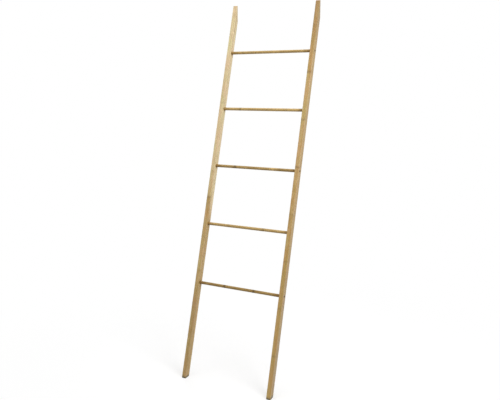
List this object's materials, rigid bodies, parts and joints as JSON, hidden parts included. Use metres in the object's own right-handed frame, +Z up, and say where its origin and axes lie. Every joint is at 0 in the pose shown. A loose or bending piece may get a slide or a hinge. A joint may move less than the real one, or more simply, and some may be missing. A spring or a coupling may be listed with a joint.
{
  "type": "towel ladder",
  "caption": "Bamboo towel ladder that leans on a wall: straight rails with level feet and plumb tops, joined by thin round rungs for hanging towels.",
  "frame": {"origin": "on the floor, at the middle of the ladder's footprint from feet to wall and from side to side", "axes": "+X across the ladder to the right as seen from the room, +Y from the room to the wall that it leans on, +Z up"},
  "size_m": [0.45, 0.533, 1.7213],
  "materials": {
    "rail_bamboo": "pale bamboo, clear satin lacquer, lengthwise fibres and node marks",
    "rung_bamboo": "browner bamboo rod, matt, node marks",
    "screw_steel": "steel with a dark burnished coat",
    "pad_rubber": "matt dark rubber"
  },
  "bodies": {
    "root": {"left_rail": "rail_bamboo", "right_rail": "rail_bamboo", "rung_1": "rung_bamboo", "rung_2": "rung_bamboo", "rung_3": "rung_bamboo", "rung_4": "rung_bamboo", "rung_5": "rung_bamboo", "left_screw_1": "screw_steel", "left_screw_3": "screw_steel", "left_screw_5": "screw_steel", "right_screw_1": "screw_steel", "right_screw_3": "screw_steel", "right_screw_5": "screw_steel", "left_foot_pad": "pad_rubber", "right_foot_pad": "pad_rubber"}
  },
  "joints": []
}
